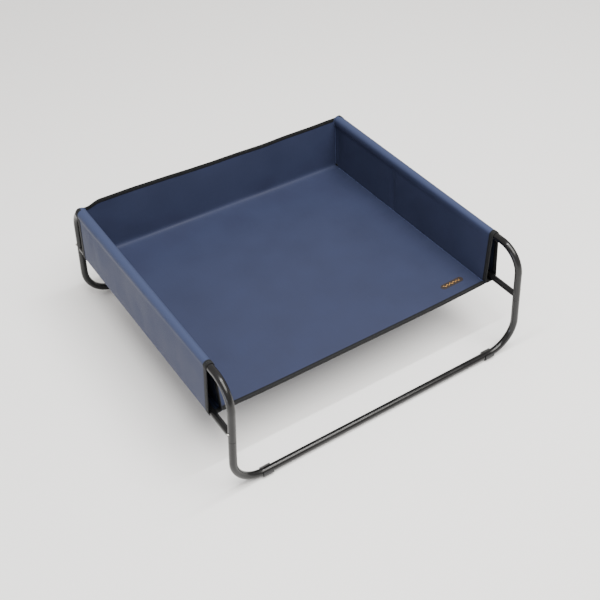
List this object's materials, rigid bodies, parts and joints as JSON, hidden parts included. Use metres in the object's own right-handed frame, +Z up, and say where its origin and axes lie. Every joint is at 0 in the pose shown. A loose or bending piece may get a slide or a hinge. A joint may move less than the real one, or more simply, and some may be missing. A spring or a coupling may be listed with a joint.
{
  "type": "dog bed with frame",
  "caption": "Raised square dog bed: a taut cloth floor with three cloth walls, hung in a bent tube frame that stands on clip-on feet and unplugs at sprung buttons.",
  "frame": {"origin": "on the floor under the middle of the frame's footprint", "axes": "+Z up; -Y is the open front, where the dog steps in; +X to the right as seen from the front"},
  "size_m": [0.865, 0.8594, 0.3288],
  "materials": {
    "frame_tube": "gloss black powder coat on steel tube",
    "foot_plastic": "moulded black plastic, satin",
    "button_steel": "bright zinc plated steel",
    "spring_steel": "spring steel strip",
    "bed_cloth": "coated polyester Oxford weave, navy blue",
    "edge_tape": "black woven binding tape",
    "label_patch": "dark woven patch with an orange stitched border, no lettering"
  },
  "bodies": {
    "root": {"side_tube_left": "frame_tube", "side_tube_right": "frame_tube", "lower_rail_left": "frame_tube", "lower_rail_right": "frame_tube", "floor_tube_front": "frame_tube", "floor_tube_rear": "frame_tube", "glide_foot_front_left": "foot_plastic", "glide_foot_front_right": "foot_plastic", "glide_foot_rear_left": "foot_plastic", "glide_foot_rear_right": "foot_plastic", "button_spring_front_left": "spring_steel", "button_spring_front_right": "spring_steel", "button_spring_rear_left": "spring_steel", "button_spring_rear_right": "spring_steel", "floor_panel": "bed_cloth", "back_panel": "bed_cloth", "outer_panel_left": "bed_cloth", "outer_panel_right": "bed_cloth", "inner_panel_left": "bed_cloth", "inner_panel_right": "bed_cloth", "front_edge_binding": "edge_tape", "back_top_binding": "edge_tape", "front_sleeve_binding_left": "edge_tape", "front_sleeve_binding_right": "edge_tape", "rear_sleeve_binding_left": "edge_tape", "rear_sleeve_binding_right": "edge_tape", "label_patch": "label_patch"},
    "button_front_left": {"snap_button_front_left": "button_steel"},
    "button_front_right": {"snap_button_front_right": "button_steel"},
    "button_rear_left": {"snap_button_rear_left": "button_steel"},
    "button_rear_right": {"snap_button_rear_right": "button_steel"}
  },
  "joints": [
    {"name": "press_button_front_left", "type": "slide", "parent": "root", "child": "button_front_left", "axis": [0.9981, 0, -0.061], "range_m": [0, 0.0047], "stiffness_N_per_m": 500, "springref_m": -0.004, "deforming": ["button_spring_front_left"]},
    {"name": "press_button_front_right", "type": "slide", "parent": "root", "child": "button_front_right", "axis": [-0.9981, 0, -0.061], "range_m": [0, 0.0047], "stiffness_N_per_m": 500, "springref_m": -0.004, "deforming": ["button_spring_front_right"]},
    {"name": "press_button_rear_left", "type": "slide", "parent": "root", "child": "button_rear_left", "axis": [0.9981, 0, -0.061], "range_m": [0, 0.0047], "stiffness_N_per_m": 500, "springref_m": -0.004, "deforming": ["button_spring_rear_left"]},
    {"name": "press_button_rear_right", "type": "slide", "parent": "root", "child": "button_rear_right", "axis": [-0.9981, 0, -0.061], "range_m": [0, 0.0047], "stiffness_N_per_m": 500, "springref_m": -0.004, "deforming": ["button_spring_rear_right"]}
  ]
}
